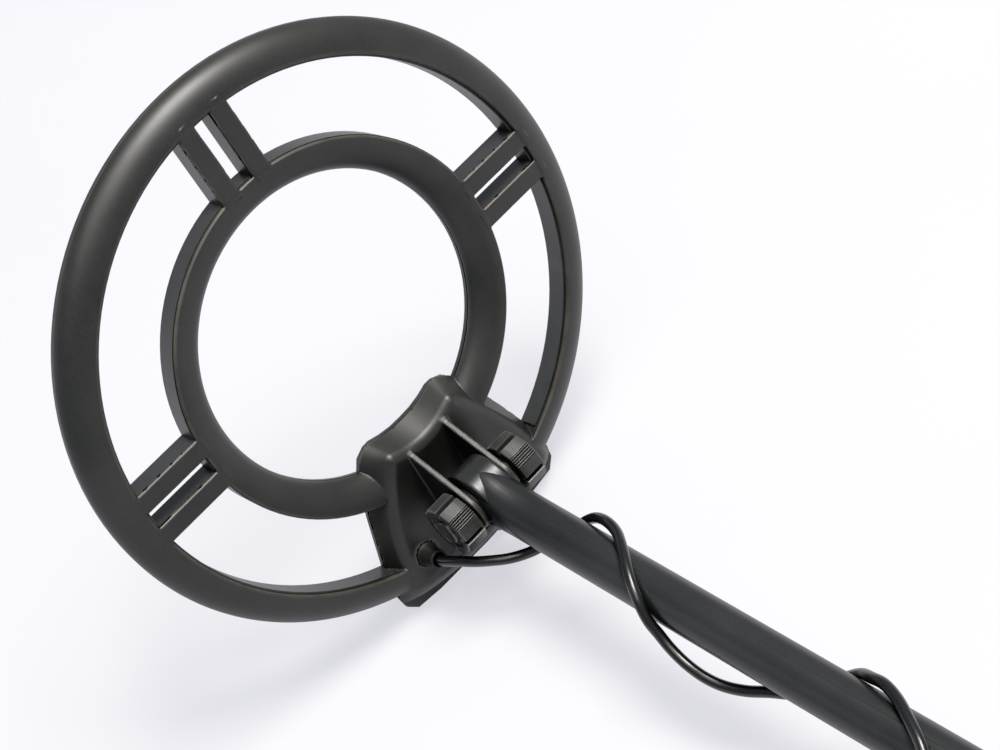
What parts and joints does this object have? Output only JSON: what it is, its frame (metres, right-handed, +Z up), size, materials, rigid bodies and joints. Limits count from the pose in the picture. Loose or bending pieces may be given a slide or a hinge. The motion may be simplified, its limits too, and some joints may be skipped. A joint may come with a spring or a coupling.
{
  "type": "metal detector",
  "caption": "Handheld metal detector: round open-frame search coil hinged on a telescoping shaft with coiled cable, S-bend grip, control box, arm cuff and stand.",
  "frame": {"origin": "centre of the search coil's sole plane", "axes": "+X along the shaft from the coil towards the user, +Z up, +Y to the user's right when facing the coil"},
  "size_m": [1.1995, 0.25, 0.2618],
  "materials": {
    "coil_plastic": "satin moulded, fine grain",
    "knob_plastic": "smooth moulded, semi gloss",
    "rod_plastic": "satin, faint lengthwise sheen",
    "cable_jacket": "glossy flexible jacket",
    "rubber_black": "matt rubber",
    "copper_wire": "enamelled copper, lacquered",
    "board_green": "solder mask",
    "tube_anodised": "black anodised, satin",
    "bush_grey": "moulded nylon",
    "steel_plated": "zinc plated",
    "brass_turned": "turned",
    "grip_foam": "closed-cell foam, fine pores",
    "box_plastic": "fine textured moulding",
    "panel_plastic": "satin",
    "button_red": "moulded",
    "dial_card": "printed scale",
    "needle_red": "lacquered",
    "window_clear": "clear acrylic",
    "speaker_black": "pressed frame and cone",
    "battery_wrap": "printed film",
    "pad_fabric": "padded fabric",
    "strap_fabric": "woven tape",
    "wire_coated": "powder coated steel wire"
  },
  "bodies": {
    "coil": {"coil_cover": "coil_plastic", "coil_tray": "coil_plastic", "transmit_winding": "copper_wire", "receive_winding": "copper_wire", "bucking_winding": "copper_wire", "junction_board": "board_green", "cable_gland": "rubber_black", "coil_cable": "cable_jacket", "friction_washers": "rubber_black"},
    "bolt_knob": {"pivot_bolt": "knob_plastic", "knob_bolt_side": "knob_plastic"},
    "nut_knob": {"knob_nut_side": "knob_plastic", "knob_insert": "brass_turned"},
    "lower_rod": {"rod_lug": "rod_plastic", "lower_rod": "rod_plastic", "rod_cable": "cable_jacket"},
    "lock_collar": {"lock_collar": "knob_plastic"},
    "snap_button": {"snap_button": "steel_plated"},
    "shaft": {"lock_bush": "bush_grey", "middle_tube": "tube_anodised", "upper_tube": "tube_anodised", "hand_grip": "grip_foam", "shaft_cable": "cable_jacket", "cable_wraps": "strap_fabric", "box_saddle": "box_plastic", "saddle_screws": "steel_plated", "control_box": "box_plastic", "control_panel": "panel_plastic", "panel_screws": "steel_plated", "main_board": "board_green", "potentiometers": "steel_plated", "button_switch": "speaker_black", "power_switch": "steel_plated", "meter_case": "speaker_black", "meter_dial": "dial_card", "meter_window": "window_clear", "speaker": "speaker_black", "batteries": "battery_wrap", "battery_contacts": "speaker_black", "headphone_jack": "steel_plated", "cable_socket": "steel_plated", "cable_plug": "steel_plated", "arm_cuff": "box_plastic", "cuff_pad": "pad_fabric", "cuff_strap": "strap_fabric", "cuff_bolts": "steel_plated", "cuff_nuts": "steel_plated", "stand_bracket": "box_plastic", "end_cap": "rubber_black"},
    "tuning_knob": {"tuning_knob": "knob_plastic"},
    "sensitivity_knob": {"sensitivity_knob": "knob_plastic"},
    "mode_knob": {"mode_knob": "knob_plastic"},
    "pinpoint_button": {"pinpoint_button": "button_red"},
    "power_lever": {"power_lever": "steel_plated"},
    "meter_needle": {"meter_needle": "needle_red"},
    "battery_door": {"battery_door": "box_plastic"},
    "stand": {"stand_leg": "wire_coated", "stand_feet": "rubber_black"}
  },
  "joints": [
    {"name": "rod_telescope", "type": "slide", "parent": "shaft", "child": "lower_rod", "axis": [-1, 0, 0], "range_m": [-0.055, 0.1]},
    {"name": "coil_tilt", "type": "hinge", "parent": "lower_rod", "child": "coil", "pos_m": [0.05546, 0, -0.07636], "axis": [0, 1, 0], "range_deg": [-65, 80]},
    {"name": "bolt_knob_turn", "type": "hinge", "parent": "coil", "child": "bolt_knob", "pos_m": [0.05546, -0.018, -0.07636], "axis": [0, 1, 0], "continuous": true},
    {"name": "nut_knob_turn", "type": "hinge", "parent": "coil", "child": "nut_knob", "pos_m": [0.05546, 0.018, -0.07636], "axis": [0, 1, 0], "continuous": true},
    {"name": "lock_collar_twist", "type": "hinge", "parent": "shaft", "child": "lock_collar", "pos_m": [0.37446, 0, -0.07636], "axis": [1, 0, 0], "range_deg": [0, 90]},
    {"name": "snap_button_press", "type": "slide", "parent": "shaft", "child": "snap_button", "axis": [0, 1, 0], "range_m": [0, 0.004]},
    {"name": "tuning_turn", "type": "hinge", "parent": "shaft", "child": "tuning_knob", "pos_m": [0.7642, -0.036, -0.01584], "axis": [0.8027, 0, 0.5963], "range_deg": [-140, 140]},
    {"name": "sensitivity_turn", "type": "hinge", "parent": "shaft", "child": "sensitivity_knob", "pos_m": [0.7642, 0, -0.01584], "axis": [0.8027, 0, 0.5963], "range_deg": [-140, 140]},
    {"name": "mode_turn", "type": "hinge", "parent": "shaft", "child": "mode_knob", "pos_m": [0.7642, 0.036, -0.01584], "axis": [0.8027, 0, 0.5963], "range_deg": [-60, 60]},
    {"name": "pinpoint_press", "type": "slide", "parent": "shaft", "child": "pinpoint_button", "axis": [-0.8027, 0, -0.5963], "range_m": [0, 0.0015]},
    {"name": "power_toggle", "type": "hinge", "parent": "shaft", "child": "power_lever", "pos_m": [0.73432, 0.045, 0.0093], "axis": [0, -1, 0], "range_deg": [0, 18]},
    {"name": "needle_swing", "type": "hinge", "parent": "shaft", "child": "meter_needle", "pos_m": [0.73679, 0, -0.00007], "axis": [-0.8027, 0, -0.5963], "range_deg": [0, 84]},
    {"name": "battery_door_open", "type": "hinge", "parent": "shaft", "child": "battery_door", "pos_m": [0.66286, 0, -0.04216], "axis": [0, -1, 0], "range_deg": [0, 100]},
    {"name": "stand_fold", "type": "hinge", "parent": "shaft", "child": "stand", "pos_m": [1.025, 0, 0.00403], "axis": [0, 1, 0], "range_deg": [0, 75]}
  ]
}
